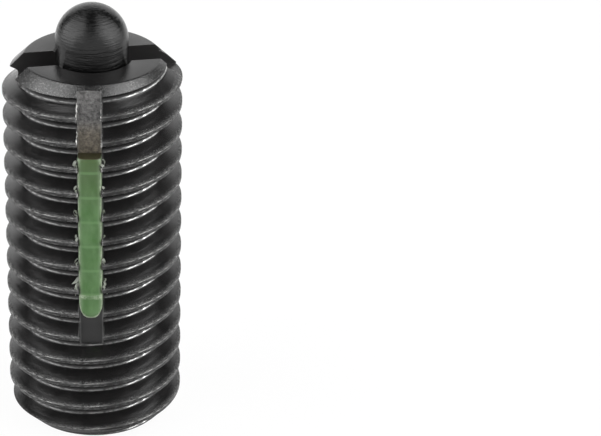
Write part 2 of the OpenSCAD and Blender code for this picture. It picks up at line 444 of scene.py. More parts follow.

    # the driver slot's walls are painted paler: painted light that lifts the shade inside the slot
    slotTurn = math.radians(sleeve["slotTurn"])
    fromSlot = addNode(tree, "VectorMath",
                       {"operation": "DOT_PRODUCT", 1: (-math.sin(slotTurn), math.cos(slotTurn), 0)},
                       {0: (place, "Object")})
    slotAway = addNode(tree, "Math", {"operation": "ABSOLUTE"}, {0: (fromSlot, "Value")})
    slotWide = addNode(tree, "Math",
                       {"operation": "LESS_THAN", 1: (sleeve["slotWidth"] / 2 + oxide["slotSlack"]) * mm},
                       {0: slotAway})
    slotHigh = addNode(tree, "Math",
                       {"operation": "COMPARE", 1: (sleeveTop - sleeve["slotDepth"] / 2) * mm,
                        2: (sleeve["slotDepth"] / 2 + oxide["slotSlack"]) * mm},
                       {0: (xyz, "Z")})
    slotLightMask = addNode(tree, "Math", {"operation": "MULTIPLY"}, {0: slotWide, 1: slotHigh})

    # two marking bands across the socket end, etched to a pale grey
    offset = addNode(tree, "Math", {"operation": "ABSOLUTE"}, {0: (xyz, "Y")})
    band = addNode(tree, "Math",
                   {"operation": "COMPARE", 1: oxide["bandY"] * mm, 2: oxide["bandHalf"] * mm},
                   {0: offset})
    low = addNode(tree, "Math", {"operation": "LESS_THAN", 1: oxide["bandUp"] * mm}, {0: (xyz, "Z")})
    mark = addNode(tree, "Math", {"operation": "MULTIPLY"}, {0: band, 1: low})
    markCloud = addNode(tree, "MapRange",
                        {"From Min": 0.25, "From Max": 0.6, "To Min": 0.35, "To Max": 0.9},
                        {"Value": (grain, "Fac")})
    marked = addNode(tree, "Math", {"operation": "MULTIPLY"}, {0: mark, 1: markCloud})

    skin = addNode(tree, "Mix",
                   {"data_type": "RGBA", 6: linear(oxide["dark"]), 7: linear(oxide["lighter"])},
                   {0: (clouds, "Fac")})
    withSlotLight = addNode(tree, "Mix", {"data_type": "RGBA", 7: linear(oxide["slot"])},
                       {0: slotLightMask, 6: (skin, 2)})
    # painted shade: the chamfer's paler bare steel fades out towards the left and right sides
    coneSideShade = addNode(tree, "MapRange",
                       {"From Min": oxide["coneShadeSides"][0] * mm, "From Max": oxide["coneShadeSides"][1] * mm,
                        "To Min": 1.0, "To Max": 0.35},
                       {"Value": sideways})
    bareCone = addNode(tree, "Math", {"operation": "MULTIPLY"}, {0: cone, 1: coneSideShade})
    bare = addNode(tree, "Math", {"operation": "MULTIPLY"}, {0: bareCone, 1: outside})
    withCone = addNode(tree, "Mix", {"data_type": "RGBA", 7: linear(oxide["chamfer"])},
                       {0: bare, 6: (withSlotLight, 2)})
    footCone = addNode(tree, "Math", {"operation": "SUBTRACT"}, {0: (radius, "Value"), 1: (xyz, "Z")})
    lowCone = addNode(tree, "Math",
                      {"operation": "COMPARE", 1: sleeve["socketFaceR"] * mm, 2: oxide["coneSlack"] * mm},
                      {0: footCone})
    withFloor = addNode(tree, "Mix", {"data_type": "RGBA"},
                        {0: paleFloor, 6: (withCone, 2), 7: (floorColour, 2)})
    colour = withFloor
    for share, over in ((wear, "worn"), (rootHighlightMask, "rootHighlight"), (marked, "mark")):
        colour = addNode(tree, "Mix", {"data_type": "RGBA", 7: linear(oxide[over])},
                         {0: share, 6: (colour, 2)})
    tree.links.new(colour.outputs[2], shader.inputs["Base Color"])
    bareOrWorn = addNode(tree, "Math", {"operation": "MAXIMUM"}, {0: wear, 1: bare})
    tree.links.new(bareOrWorn.outputs[0], shader.inputs["Metallic"])
    # oil and dirt gather on the lower chamfer and take its gloss
    landGloss = addNode(tree, "Math", {"operation": "MULTIPLY_ADD", 1: -0.25, 2: 0.5}, {0: land})
    gloss = addNode(tree, "Math", {"operation": "MULTIPLY_ADD", 1: -0.4}, {0: lowCone, 2: landGloss})
    tree.links.new(gloss.outputs[0], shader.inputs["Specular IOR Level"])

    satin = addNode(tree, "MapRange", {"From Min": 0.3, "From Max": 0.7, "To Min": 0.11, "To Max": 0.26},
                    {"Value": (clouds, "Fac")})
    dull = satin
    for share, more in ((rubbedSoft, 0.05), (floorMask, 0.2), (marked, 0.2), (bare, 0.1), (lowCone, 0.35)):
        dull = addNode(tree, "Math", {"operation": "MULTIPLY_ADD", 1: more}, {0: share, 2: dull})
    tree.links.new(dull.outputs[0], shader.inputs["Roughness"])

    fine = addNode(tree, "Bump", {"Strength": 1.0, "Distance": oxide["lineDeep"] * mm},
                   {"Height": (lines, "Fac")})
    pitted = addNode(tree, "Bump", {"Strength": 1.0, "Distance": oxide["grainDeep"] * mm},
                     {"Height": (grain, "Fac"), "Normal": (fine, "Normal")})
    rolled = addNode(tree, "Math", {"operation": "MULTIPLY"}, {0: land, 1: (streaks, "Fac")})
    seamed = addNode(tree, "Bump", {"Strength": 1.0, "Distance": oxide["streakDeep"] * mm},
                     {"Height": rolled, "Normal": (pitted, "Normal")})
    coneRough = addNode(tree, "Math", {"operation": "MULTIPLY", 1: 0.3}, {0: cone})
    plainRough = addNode(tree, "Math", {"operation": "MAXIMUM"}, {0: rubbedSoft, 1: paleFloor})
    rough = addNode(tree, "Math", {"operation": "MAXIMUM"}, {0: plainRough, 1: coneRough})
    crestBump = addNode(tree, "Math", {"operation": "MULTIPLY"}, {0: rough, 1: (speckle, "Fac")})
    burred = addNode(tree, "Bump", {"Strength": 1.0, "Distance": oxide["speckleDeep"] * mm},
                     {"Height": crestBump, "Normal": (seamed, "Normal")})
    tree.links.new(burred.outputs["Normal"], shader.inputs["Normal"])
    return material


# The thrust pin: case-hardened, turned with a round-nosed tool and black-oxided. The turning rings
# draw the highlights out along the pin.
pinFinish = {
    "dark": "#0D0D0D",
    "lighter": "#141414",
    "rings": 0.12,       # mm, spacing of the turning rings, drawn as coarse as they need to show
    "ringDeep": 0.036,
    "drift": 1.2,        # how fast a ring changes on its way round
    "patch": 0.5,        # mm, patches of thinner oil
}


def makePinSteel(name):
    material, tree, shader = newMaterial(name)
    place = addNode(tree, "TexCoord")
    xyz = addNode(tree, "SeparateXYZ", {}, {"Vector": (place, "Object")})
    flat = addNode(tree, "VectorMath", {"operation": "MULTIPLY", 1: (1, 1, 0)}, {0: (place, "Object")})
    radius = addNode(tree, "VectorMath", {"operation": "LENGTH"}, {0: (flat, "Vector")})
    around = addNode(tree, "VectorMath", {"operation": "NORMALIZE"}, {0: (flat, "Vector")})
    along = addNode(tree, "Math", {"operation": "SUBTRACT"}, {0: (xyz, "Z"), 1: (radius, "Value")})
    fast = addNode(tree, "Math", {"operation": "MULTIPLY", 1: perMm(pinFinish["rings"])}, {0: along})
    lift = addNode(tree, "CombineXYZ", {}, {"Z": fast})
    slow = addNode(tree, "VectorMath",
                   {"operation": "MULTIPLY_ADD", 1: (pinFinish["drift"], pinFinish["drift"], 0)},
                   {0: (around, "Vector"), 2: (lift, "Vector")})
    rings = addNode(tree, "TexNoise", {"Scale": 1.0, "Detail": 3.0, "Roughness": 0.65},
                    {"Vector": (slow, "Vector")})
    patches = addNode(tree, "TexNoise", {"Scale": perMm(pinFinish["patch"]), "Detail": 4.0},
                      {"Vector": (place, "Object")})
    colour = addNode(tree, "Mix",
                     {"data_type": "RGBA", 6: linear(pinFinish["dark"]), 7: linear(pinFinish["lighter"])},
                     {0: (patches, "Fac")})
    tree.links.new(colour.outputs[2], shader.inputs["Base Color"])
    satin = addNode(tree, "MapRange", {"From Min": 0.3, "From Max": 0.7, "To Min": 0.08, "To Max": 0.15},
                    {"Value": (patches, "Fac")})
    tree.links.new(satin.outputs[0], shader.inputs["Roughness"])
    shader.inputs["Specular IOR Level"].default_value = 0.4
    shader.inputs["Anisotropic"].default_value = 0.2
    shader.inputs["Anisotropic Rotation"].default_value = 0.25
    roundZ = addNode(tree, "Tangent", {"direction_type": "RADIAL", "axis": "Z"})
    tree.links.new(roundZ.outputs["Tangent"], shader.inputs["Tangent"])
    ringBump = addNode(tree, "Bump", {"Strength": 1.0, "Distance": pinFinish["ringDeep"] * mm},
                       {"Height": (rings, "Fac")})
    tree.links.new(ringBump.outputs["Normal"], shader.inputs["Normal"])
    return material


# Polyamide 6, green, cut from rod and pressed in: soft, slightly translucent, with a waxy satin
# face. It is pale in a torn rim, its sides are paler, partly thinner and partly a painted sheen, a painted
# highlight runs in a line at each crest and along a ridge near its lower end, and it is darker towards its
# top and on its upper end face.
polyamide = {
    "body": "#597E4C",
    "deep": "#446D35",
    # paler colour of the painted highlight line at each crest
    "crest": "#69915B",
    # paler colour of the sides: partly thinner polyamide, partly a painted sheen
    "edge": "#7F9274",
    "end": "#45432C",
    "topDark": "#45592F",
    "rim": "#B4C0A8",
    # sizes in mm; a pair is where a mark starts and where it is full
    "mottle": 0.5,
    "mottleDeep": 0.02,
    "ragged": 0.12,
    "topDarkDown": 3.5,         # the darkening fades out this far below the top
    "ridgeHighlight": 1.54,             # height of the painted highlight along the ridge above the lower end
    "ridgeReach": (0.19, 0.05),
    "wall": 4.56,              # from the axis, up to where the side walls are plain green
    "wallFade": 0.12,
    "endDeep": 0.03,           # the upper end face's darker colour reaches this far down
    "glowDeep": 0.25,          # how deep light goes in
    # shares of a pitch
    "pressed": 0.38,           # middle of the painted highlight line at a crest
    "pressedReach": (0.09, 0.02),
}


def makePolyamide(name, halfWidth, bottom, top, endLength, crestHeight, pitch):
    material, tree, shader = newMaterial(name)
    place = addNode(tree, "TexCoord")
    xyz = addNode(tree, "SeparateXYZ", {}, {"Vector": (place, "Object")})
    stretched = addNode(tree, "VectorMath", {"operation": "MULTIPLY", 1: (1, 1, 0.45)},
                        {0: (place, "Object")})
    mottle = addNode(tree, "TexNoise", {"Scale": perMm(polyamide["mottle"]), "Detail": 5.0},
                     {"Vector": (stretched, "Vector")})
    shade = addNode(tree, "MapRange", {"From Min": 0.35, "From Max": 0.65}, {"Value": (mottle, "Fac")})
    plain = addNode(tree, "Mix",
                    {"data_type": "RGBA", 6: linear(polyamide["body"]), 7: linear(polyamide["deep"])},
                    {0: shade})
    # the strip is darker towards its top
    topDarkening = addNode(tree, "MapRange",
                      {"From Min": (top - polyamide["topDarkDown"]) * mm, "From Max": top * mm,
                       "To Max": 0.8},
                      {"Value": (xyz, "Z")})
    body = addNode(tree, "Mix", {"data_type": "RGBA", 7: linear(polyamide["topDark"])},
                   {0: topDarkening, 6: (plain, 2)})

    # a painted highlight: a paler line along the ridge where each thread crest presses from the sides
    halfTurns = 20.5           # keeps the count of turns above zero, with the crest halfway
    turns = addNode(tree, "Math",
                    {"operation": "MULTIPLY_ADD", 1: 1 / (pitch * mm),
                     2: halfTurns - crestHeight / pitch},
                    {0: (xyz, "Z")})
    part = addNode(tree, "Math", {"operation": "FRACT"}, {0: turns})
    off = addNode(tree, "Math", {"operation": "SUBTRACT", 1: polyamide["pressed"]}, {0: part})
    away = addNode(tree, "Math", {"operation": "ABSOLUTE"}, {0: off})
    pressed = addNode(tree, "MapRange",
                      {"interpolation_type": "SMOOTHSTEP", "From Min": polyamide["pressedReach"][0],
                       "From Max": polyamide["pressedReach"][1], "To Max": 0.55},
                      {"Value": away})
    withCrestHighlight = addNode(tree, "Mix", {"data_type": "RGBA", 7: linear(polyamide["crest"])},
                     {0: pressed, 6: (body, 2)})
    side = addNode(tree, "Math", {"operation": "ABSOLUTE"}, {0: (xyz, "X")})
    # the sides are paler: partly the thinner, more translucent polyamide there, partly a painted sheen
    thin = addNode(tree, "MapRange",
                   {"interpolation_type": "SMOOTHSTEP", "From Min": halfWidth * 0.55 * mm,
                    "From Max": halfWidth * 1.05 * mm, "To Max": 0.85},
                   {"Value": side})
    withSideSheen = addNode(tree, "Mix", {"data_type": "RGBA", 7: linear(polyamide["edge"])},
                    {0: thin, 6: (withCrestHighlight, 2)})
    # a ragged white rim, where the strip is sheared thin at its sides and round its lower end
    sideShare = addNode(tree, "Math", {"operation": "DIVIDE", 1: halfWidth * mm}, {0: side})
    aboveEnd = addNode(tree, "MapRange",
                       {"From Min": (bottom + endLength) * mm, "From Max": bottom * mm, "To Max": 1.18},
                       {"Value": (xyz, "Z")})
    sideSquare = addNode(tree, "Math", {"operation": "MULTIPLY"}, {0: sideShare, 1: sideShare})
    rimPlace = addNode(tree, "Math", {"operation": "MULTIPLY_ADD"},
                       {0: aboveEnd, 1: aboveEnd, 2: sideSquare})
    ragged = addNode(tree, "TexNoise", {"Scale": perMm(polyamide["ragged"]), "Detail": 3.0},
                     {"Vector": (place, "Object")})
    rimNoisy = addNode(tree, "Math", {"operation": "MULTIPLY_ADD", 1: 0.5},
                       {0: (ragged, "Fac"), 2: rimPlace})
    rimShare = addNode(tree, "MapRange", {"From Min": 0.98, "From Max": 1.22}, {"Value": rimNoisy})
    # only the outer face is sheared: the walls in the groove keep their green
    onFace = addNode(tree, "MapRange",
                     {"From Min": -polyamide["wall"] * mm,
                      "From Max": -(polyamide["wall"] + polyamide["wallFade"]) * mm},
                     {"Value": (xyz, "Y")})
    rim = addNode(tree, "Math", {"operation": "MULTIPLY"}, {0: rimShare, 1: onFace})
    rimmed = addNode(tree, "Mix", {"data_type": "RGBA", 7: linear(polyamide["rim"])},
                     {0: rim, 6: (withSideSheen, 2)})
    # a painted highlight along a ridge near the lower end, in the rim's pale colour
    fromRidge = addNode(tree, "Math", {"operation": "SUBTRACT", 1: (bottom + polyamide["ridgeHighlight"]) * mm},
                        {0: (xyz, "Z")})
    ridgeAway = addNode(tree, "Math", {"operation": "ABSOLUTE"}, {0: fromRidge})
    ridgeNear = addNode(tree, "MapRange",
                        {"interpolation_type": "SMOOTHSTEP", "From Min": polyamide["ridgeReach"][0] * mm,
                         "From Max": polyamide["ridgeReach"][1] * mm},
                        {"Value": ridgeAway})
    ridgeTorn = addNode(tree, "MapRange",
                        {"From Min": 0.35, "From Max": 0.6, "To Min": 0.15, "To Max": 0.8},
                        {"Value": (ragged, "Fac")})
    ridgeSides = addNode(tree, "MapRange", {"From Min": 0.2, "From Max": 0.65, "To Min": 0.3},
                         {"Value": sideShare})
    ridgeHighlight = ridgeNear
    for share in (ridgeSides, ridgeTorn, onFace):
        ridgeHighlight = addNode(tree, "Math", {"operation": "MULTIPLY"}, {0: ridgeHighlight, 1: share})
    withRidgeHighlight = addNode(tree, "Mix", {"data_type": "RGBA", 7: linear(polyamide["rim"])},
                     {0: ridgeHighlight, 6: (rimmed, 2)})
    # the upper end face is darker
    cutEnd = addNode(tree, "Math", {"operation": "GREATER_THAN", 1: (top - polyamide["endDeep"]) * mm},
                     {0: (xyz, "Z")})
    colour = addNode(tree, "Mix", {"data_type": "RGBA", 7: linear(polyamide["end"])},
                     {0: cutEnd, 6: (withRidgeHighlight, 2)})
    tree.links.new(colour.outputs[2], shader.inputs["Base Color"])
    shader.inputs["Roughness"].default_value = 0.4
    shader.inputs["Subsurface Weight"].default_value = 0.3
    shader.inputs["Subsurface Radius"].default_value = (0.6, 1.0, 0.5)
    shader.inputs["Subsurface Scale"].default_value = polyamide["glowDeep"] * mm
    waxy = addNode(tree, "Bump", {"Strength": 1.0, "Distance": polyamide["mottleDeep"] * mm},
                   {"Height": (mottle, "Fac")})
    tree.links.new(waxy.outputs["Normal"], shader.inputs["Normal"])
    return material


# Polyamide flash: shavings thin enough to see through, glossy where they curl.
flashFinish = {"colour": "#B7BDB0", "crease": 0.1, "creaseDeep": 0.04}   # creases in mm


def makeFlash(name):
    material, tree, shader = newMaterial(name)
    shader.inputs["Base Color"].default_value = linear(flashFinish["colour"])
    shader.inputs["Roughness"].default_value = 0.15
    shader.inputs["IOR"].default_value = 1.53
    shader.inputs["Transmission Weight"].default_value = 0.6
    place = addNode(tree, "TexCoord")
    creases = addNode(tree, "TexNoise", {"Scale": perMm(flashFinish["crease"]), "Detail": 2.0},
                      {"Vector": (place, "Object")})
    crumpled = addNode(tree, "Bump", {"Strength": 1.0, "Distance": flashFinish["creaseDeep"] * mm},
                       {"Height": (creases, "Fac")})
    tree.links.new(crumpled.outputs["Normal"], shader.inputs["Normal"])
    return material


# Spring wire: patented carbon steel, drawn bright, with die lines along the wire.
wireFinish = {"colour": "#B9B7B2", "lines": 0.06, "lineDeep": 0.005, "drawn": 8}   # lines in mm


def makeSpringWire(name):
    material, tree, shader = newMaterial(name)
    place = addNode(tree, "TexCoord")
    drawn = addNode(tree, "VectorMath", {"operation": "MULTIPLY", 1: (1, 1, wireFinish["drawn"])},
                    {0: (place, "Object")})
    lines = addNode(tree, "TexNoise",
                    {"Scale": perMm(wireFinish["lines"] * wireFinish["drawn"]), "Detail": 3.0},
                    {"Vector": (drawn, "Vector")})
    satin = addNode(tree, "MapRange", {"To Min": 0.18, "To Max": 0.4}, {"Value": (lines, "Fac")})
    shader.inputs["Base Color"].default_value = linear(wireFinish["colour"])
    shader.inputs["Metallic"].default_value = 1.0
    tree.links.new(satin.outputs[0], shader.inputs["Roughness"])
    scored = addNode(tree, "Bump", {"Strength": 0.3, "Distance": wireFinish["lineDeep"] * mm},
                     {"Height": (lines, "Fac")})
    tree.links.new(scored.outputs["Normal"], shader.inputs["Normal"])
    return material


sleeve = {
    "steps": 96,
    "pinFaceR": 3.75,
    "socketFaceR": 3.9,
    "holeR": 2.03,
    "holeBevel": 0.2,
    "boreTop": 19.0,
    "boreBevel": 0.15,
    "rimRound": 0.06,
    "pitch": 1.5,
    "threadDepth": 0.87,
    "crestHalf": 0.11,        # half the crest's width before its edges are rounded
    "crestRound": 0.05,
    "flank": 30,              # degrees, either side of the gap
    "turn": 214,              # degrees; the thread gap's middle crosses z = 0 here
    "slotWidth": 1.9,
    "slotDepth": 1.2,
    "slotTurn": 10,
    "grooveWidth": 1.3,
    "grooveFloor": 3.98,
    "grooveStart": 6.2,
}


def makeBlank():
    top, faceR, socketR = sleeveTop, sleeve["pinFaceR"], sleeve["socketFaceR"]
    holeR, holeBevel, bevel = sleeve["holeR"], sleeve["holeBevel"], sleeve["boreBevel"]
    points = [
        (boreR + bevel, 0), (boreR, bevel), (boreR, sleeve["boreTop"]), (holeR, sleeve["boreTop"]),
        (holeR, top - holeBevel), (holeR + holeBevel, top), (faceR, top), (crestR, top - (crestR - faceR)),
        (crestR, crestR - socketR), (socketR, 0),
    ]
    blank = drawOutline("sleeve_dressed", points)
    roundCorners(blank, [(faceR, top), (socketR, 0), (holeR + holeBevel, top)], sleeve["rimRound"])
    blank.rotation_euler = (0, 0, math.radians(sleeve["turn"]))
    pickOnly(blank)
    bpy.ops.object.transform_apply(rotation=True)
    spinRound(blank, sleeve["steps"])
    return blank


def makeThreadCutter():
    # section of the gap: a root arc, straight flanks, then the crest's rounded edges
    rootR = crestR - sleeve["threadDepth"]
    slope = math.tan(math.radians(sleeve["flank"]))
    rootHalf = sleeve["pitch"] / 2 - sleeve["crestHalf"] - sleeve["threadDepth"] * slope
    rootArc = rootHalf / slope                 # tangent to the root and to both flanks
    rootCentre = rootR + rootArc
    ease = sleeve["crestRound"]
    easeR = crestR - ease
    easeZ = rootHalf + (easeR - rootR) * slope + ease / math.cos(math.radians(sleeve["flank"]))
    upper = [(r, -z) for r, z in arc((easeR, -easeZ), ease, 60, 12, 4)]
    lower = [(r, -z) for r, z in reversed(upper)]
    outer = crestR + 0.3
    points = arc((rootCentre, 0), rootArc, 240, 120, 8) + upper
    points += [(outer, upper[-1][1]), (outer, lower[0][1])] + lower
    cutter = drawOutline("thread_cutter", points)
    cutter.location.z = -sleeve["pitch"]
    cutter.rotation_euler = (0, 0, math.radians(sleeve["turn"]))
    pickOnly(cutter)
    bpy.ops.object.transform_apply(location=True, rotation=True)
    bpy.ops.object.modifier_add(type="SCREW")
    screw = cutter.modifiers[-1]
    screw.axis = "Z"
    screw.screw_offset = sleeve["pitch"]
    screw.iterations = math.ceil(sleeveTop / sleeve["pitch"]) + 2
    screw.steps = screw.render_steps = sleeve["steps"]
    screw.use_smooth_shade = False
    bpy.ops.object.modifier_apply(modifier=screw.name)
    bpy.ops.object.mode_set(mode="EDIT")
    bpy.ops.mesh.select_all(action="SELECT")
    bpy.ops.mesh.remove_doubles(threshold=1e-4)
    bpy.ops.mesh.fill_holes(sides=0)
    bpy.ops.mesh.select_all(action="SELECT")
    bpy.ops.mesh.normals_make_consistent(inside=False)
    bpy.ops.object.mode_set(mode="OBJECT")
    return cutter


def makeSleeve(material):
    body = makeBlank()
    cutAway(body, makeThreadCutter())
    print("thread cut")
    past = 1                   # how far the cutters stand out of the sleeve
    halfSlot = sleeve["slotWidth"] / 2
    slot = addBox("slot_cutter", (-crestR - past, -halfSlot, sleeveTop - sleeve["slotDepth"]),
                  (crestR + past, halfSlot, sleeveTop + past))
    slot.rotation_euler = (0, 0, math.radians(sleeve["slotTurn"]))
    slot.location = (0, 0, slot.location.z)
    pickOnly(slot)
    bpy.ops.object.transform_apply(location=True, rotation=True, scale=True)
    cutAway(body, slot)
    half = sleeve["grooveWidth"] / 2
    groove = addBox("groove_cutter", (-half, -crestR - past, sleeve["grooveStart"]),
                    (half, -sleeve["grooveFloor"], sleeveTop + past))
    pickOnly(groove)
    bpy.ops.object.transform_apply(location=True, rotation=True, scale=True)
    cutAway(body, groove)
    finishPiece(body, "sleeve_body", material, 32)
    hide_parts("sleeve")
    return body


pin = {"steps": 128, "r": 2.0, "headBevel": 0.3, "noseSteps": 28}


def makePin(material):
    headR, back = pinHigh.x, pinLow.z
    shoulder = sleeve["boreTop"]
    noseZ = pinHigh.z - pin["r"]
    bevel = pin["headBevel"]
    points = [
        (0, back), (headR - bevel, back), (headR, back + bevel), (headR, shoulder - bevel),
        (headR - bevel, shoulder), (pin["r"], shoulder), (pin["r"], (shoulder + noseZ) / 2),
    ]
    points += arc((0, noseZ), pin["r"], 0, 90, pin["noseSteps"])
    body = drawOutline("thrust_pin_dressed", points, closed=False)
    spinRound(body, pin["steps"])
    finishPiece(body, "pin_body", material, 30)
    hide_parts("thrust_pin")
    return body


plug = {
    "steps": 96,
    "acrossFlats": 3.0,
    "countersinkR": 2.0,
    "counterboreR": 2.2,
    "counterboreDepth": 0.12,
    "bevel": 0.15,
    "stepDepth": 0.03,
}


def makePlug(material):
    inner = 1.0                # inside the hexagon, so that its cut leaves no wall
    sinkR, boredR, bored = plug["countersinkR"], plug["counterboreR"], plug["counterboreDepth"]
    step = plug["stepDepth"]
    faceR = boreR - plug["bevel"]
    middleR = (boredR + faceR) / 2
    points = [
        (inner, bored + sinkR - inner), (sinkR, bored), (boredR, bored), (boredR, step), (middleR, step),
        (middleR, 0), (faceR, 0), (boreR, plug["bevel"]), (boreR, plugHigh.z), (inner, plugHigh.z),
    ]
    body = drawOutline("socket_plug_dressed", points)
    spinRound(body, plug["steps"])
    bpy.ops.object.select_all(action="DESELECT")
    bpy.ops.mesh.primitive_cylinder_add(vertices=6, radius=plug["acrossFlats"] / math.sqrt(3), depth=12,
                                        location=(0, 0, plugHigh.z / 2))
    key = bpy.context.object
    cutAway(body, key)
    finishPiece(body, "sleeve_body", material, 32)
    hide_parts("socket_plug")
    return body


spring = {"wireR": 0.4, "coils": 7, "stepsPerTurn": 40}


def makeSpring(material):
    wireR, coils, perTurn = spring["wireR"], spring["coils"], spring["stepsPerTurn"]
    coilR = springHigh.x - wireR
    ground = wireR / 2
    length = springHigh.z - springLow.z
    closed = 2 * wireR
    openPitch = (length - 2 * wireR + 2 * ground - 2 * closed) / (coils - 2)
    curve = bpy.data.curves.new("spring_line", "CURVE")
    curve.dimensions = "3D"
    curve.bevel_depth = wireR
    curve.bevel_resolution = 3
    curve.use_fill_caps = True
    line = curve.splines.new("POLY")
    line.points.add(coils * perTurn)
    for i, point in enumerate(line.points):
        turns = i / perTurn
        rise = closed * min(turns, 1) + openPitch * max(0, min(turns - 1, coils - 2))
        rise += closed * max(0, turns - (coils - 1))
        angle = 2 * math.pi * turns
        z = springLow.z + wireR - ground + rise
        point.co = (coilR * math.cos(angle), coilR * math.sin(angle), z, 1)
    body = bpy.data.objects.new("compression_spring_dressed", curve)
    bpy.context.scene.collection.objects.link(body)
    pickOnly(body)
    bpy.ops.object.convert(target="MESH")
    body = bpy.context.object
    # both ends are ground flat
    bpy.ops.object.mode_set(mode="EDIT")
    for height, up in ((springLow.z, -1), (springHigh.z, 1)):
        bpy.ops.mesh.select_all(action="SELECT")
        bpy.ops.mesh.bisect(plane_co=(0, 0, height), plane_no=(0, 0, up), use_fill=True, clear_outer=True)
    bpy.ops.mesh.select_all(action="SELECT")
    bpy.ops.mesh.normals_make_consistent(inside=False)
    bpy.ops.object.mode_set(mode="OBJECT")
    finishPiece(body, "sleeve_body", material, 40)
    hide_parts("compression_spring")
    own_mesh(body)
    return body


strip = {
    "ring": 0.125,            # mm between the rings of the loft
    "lowClear": 0.01,         # kept free at the ends, so that it stays inside its solid
    "topClear": 0.005,
    "half": 0.65,             # half its width in the thread gaps
    "waist": 0.02,            # how much each crest pinches it, on either side
    "sag": 0.06,              # how far the face sinks between the crests
    "firstCrest": 20.485,     # height of a crest's middle on the strip's side
    "faceDown": 0.02,         # the face lies this far below the solid's
    "endLength": 1.05,        # of the rounded lower end
    "endRound": 0.7,          # share of it over which the face falls
    "endFall": 0.5,
    "topPinch": 0.06,         # share of the width lost at the cut top, over topTaper
    "topTaper": 0.12,
    "topRound": 0.15,         # the face falls by topFall over this length
    "topFall": 0.1,
}


def crestPhase(z):
    # 1 in the middle of a crest, 0 in the middle of a gap
    return 0.5 + 0.5 * math.cos(2 * math.pi * (z - strip["firstCrest"]) / sleeve["pitch"])


def stripHalf(z):
    width = strip["half"] - strip["waist"] * crestPhase(z) ** 4
    fromEnd = (z - stripLow.z) / strip["endLength"]
    if fromEnd < 1:
        width *= math.sqrt(max(0.02, 1 - (1 - fromEnd) ** 2))
    fromTop = stripHigh.z - z
    if fromTop < strip["topTaper"]:
        width *= 1 - strip["topPinch"] * (1 - fromTop / strip["topTaper"])
    return width


def stripFace(z):
    face = -stripLow.y - strip["faceDown"] - strip["sag"] * (1 - crestPhase(z)) ** 0.7
    fromEnd = (z - stripLow.z) / (strip["endRound"] * strip["endLength"])
    if fromEnd < 1:
        face -= strip["endFall"] * (1 - math.sqrt(max(0.0, 1 - (1 - fromEnd) ** 2)))
    fromTop = stripHigh.z - z
    if fromTop < strip["topRound"]:
        face -= strip["topFall"] * (1 - fromTop / strip["topRound"]) ** 2
    return face


def makeStrip(material):
    floorY = -sleeve["grooveFloor"]
    z = stripLow.z + strip["lowClear"]
    face = stripFace(z)
    halfWidth = stripHalf(z)
    tall = face + floorY
    # a D-shaped section, drawn flat and then raised ring by ring
    section = [(-1, 0), (-1, 0.6), (-0.93, 0.86), (-0.75, 0.95), (-0.4, 0.99), (0, 1.0),
               (0.4, 0.99), (0.75, 0.95), (0.93, 0.86), (1, 0.6), (1, 0)]
    body = drawOutline("locking_strip_dressed", [(x * halfWidth, y * tall) for x, y in section])
    pickOnly(body)
    bpy.ops.object.mode_set(mode="EDIT")
    bpy.ops.mesh.select_all(action="SELECT")
    bpy.ops.mesh.edge_face_add()
    bpy.ops.object.mode_set(mode="OBJECT")
    body.rotation_euler = (math.radians(90), 0, 0)     # the drawing's up becomes outwards, -Y
    body.location = (0, floorY, z)
    bpy.ops.object.transform_apply(location=True, rotation=True)
    bpy.ops.object.mode_set(mode="EDIT")
    bpy.ops.mesh.select_all(action="SELECT")
    rings = round((stripHigh.z - strip["topClear"] - z) / strip["ring"])
    rise = (stripHigh.z - strip["topClear"] - z) / rings
    for _ in range(rings):
        above = z + rise
        scale = (stripHalf(above) / stripHalf(z), (stripFace(above) + floorY) / (stripFace(z) + floorY), 1)
        bpy.ops.mesh.extrude_region_move(TRANSFORM_OT_translate={"value": (0, 0, rise)})
        bpy.ops.transform.resize(value=scale, center_override=(0, floorY, above))
        z = above
    bpy.ops.mesh.select_all(action="SELECT")
    bpy.ops.mesh.normals_make_consistent(inside=False)
    bpy.ops.object.mode_set(mode="OBJECT")
    finishPiece(body, "sleeve_body", material, 50)
    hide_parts("locking_strip")
    return body


# burrs: the groove cutter throws up a thin bright edge on the crests beside and above the strip's top
# sizes in mm; lengths are shares of the longest, from the top crest down
burr = {"r": 0.042, "steps": 14, "seed": 11, "longest": 0.75, "lengths": (1.0, 0.75, 0.3, 0.2),
        "wander": 0.025, "clear": 0.01}
burrFinish = {"colour": "#E6E4E0", "torn": 0.05, "tornDeep": 0.02}   # torn grain in mm


def makeBareSteel(name):
    # steel that the cutter has just torn: no oxide, sharp and bright
    material, tree, shader = newMaterial(name)
    place = addNode(tree, "TexCoord")
    shader.inputs["Base Color"].default_value = linear(burrFinish["colour"])
    shader.inputs["Metallic"].default_value = 1.0
    shader.inputs["Roughness"].default_value = 0.3
    torn = addNode(tree, "TexNoise", {"Scale": perMm(burrFinish["torn"]), "Detail": 2.0},
                   {"Vector": (place, "Object")})
    rough = addNode(tree, "Bump", {"Strength": 1.0, "Distance": burrFinish["tornDeep"] * mm},
                    {"Height": (torn, "Fac")})
    tree.links.new(rough.outputs["Normal"], shader.inputs["Normal"])
    return material


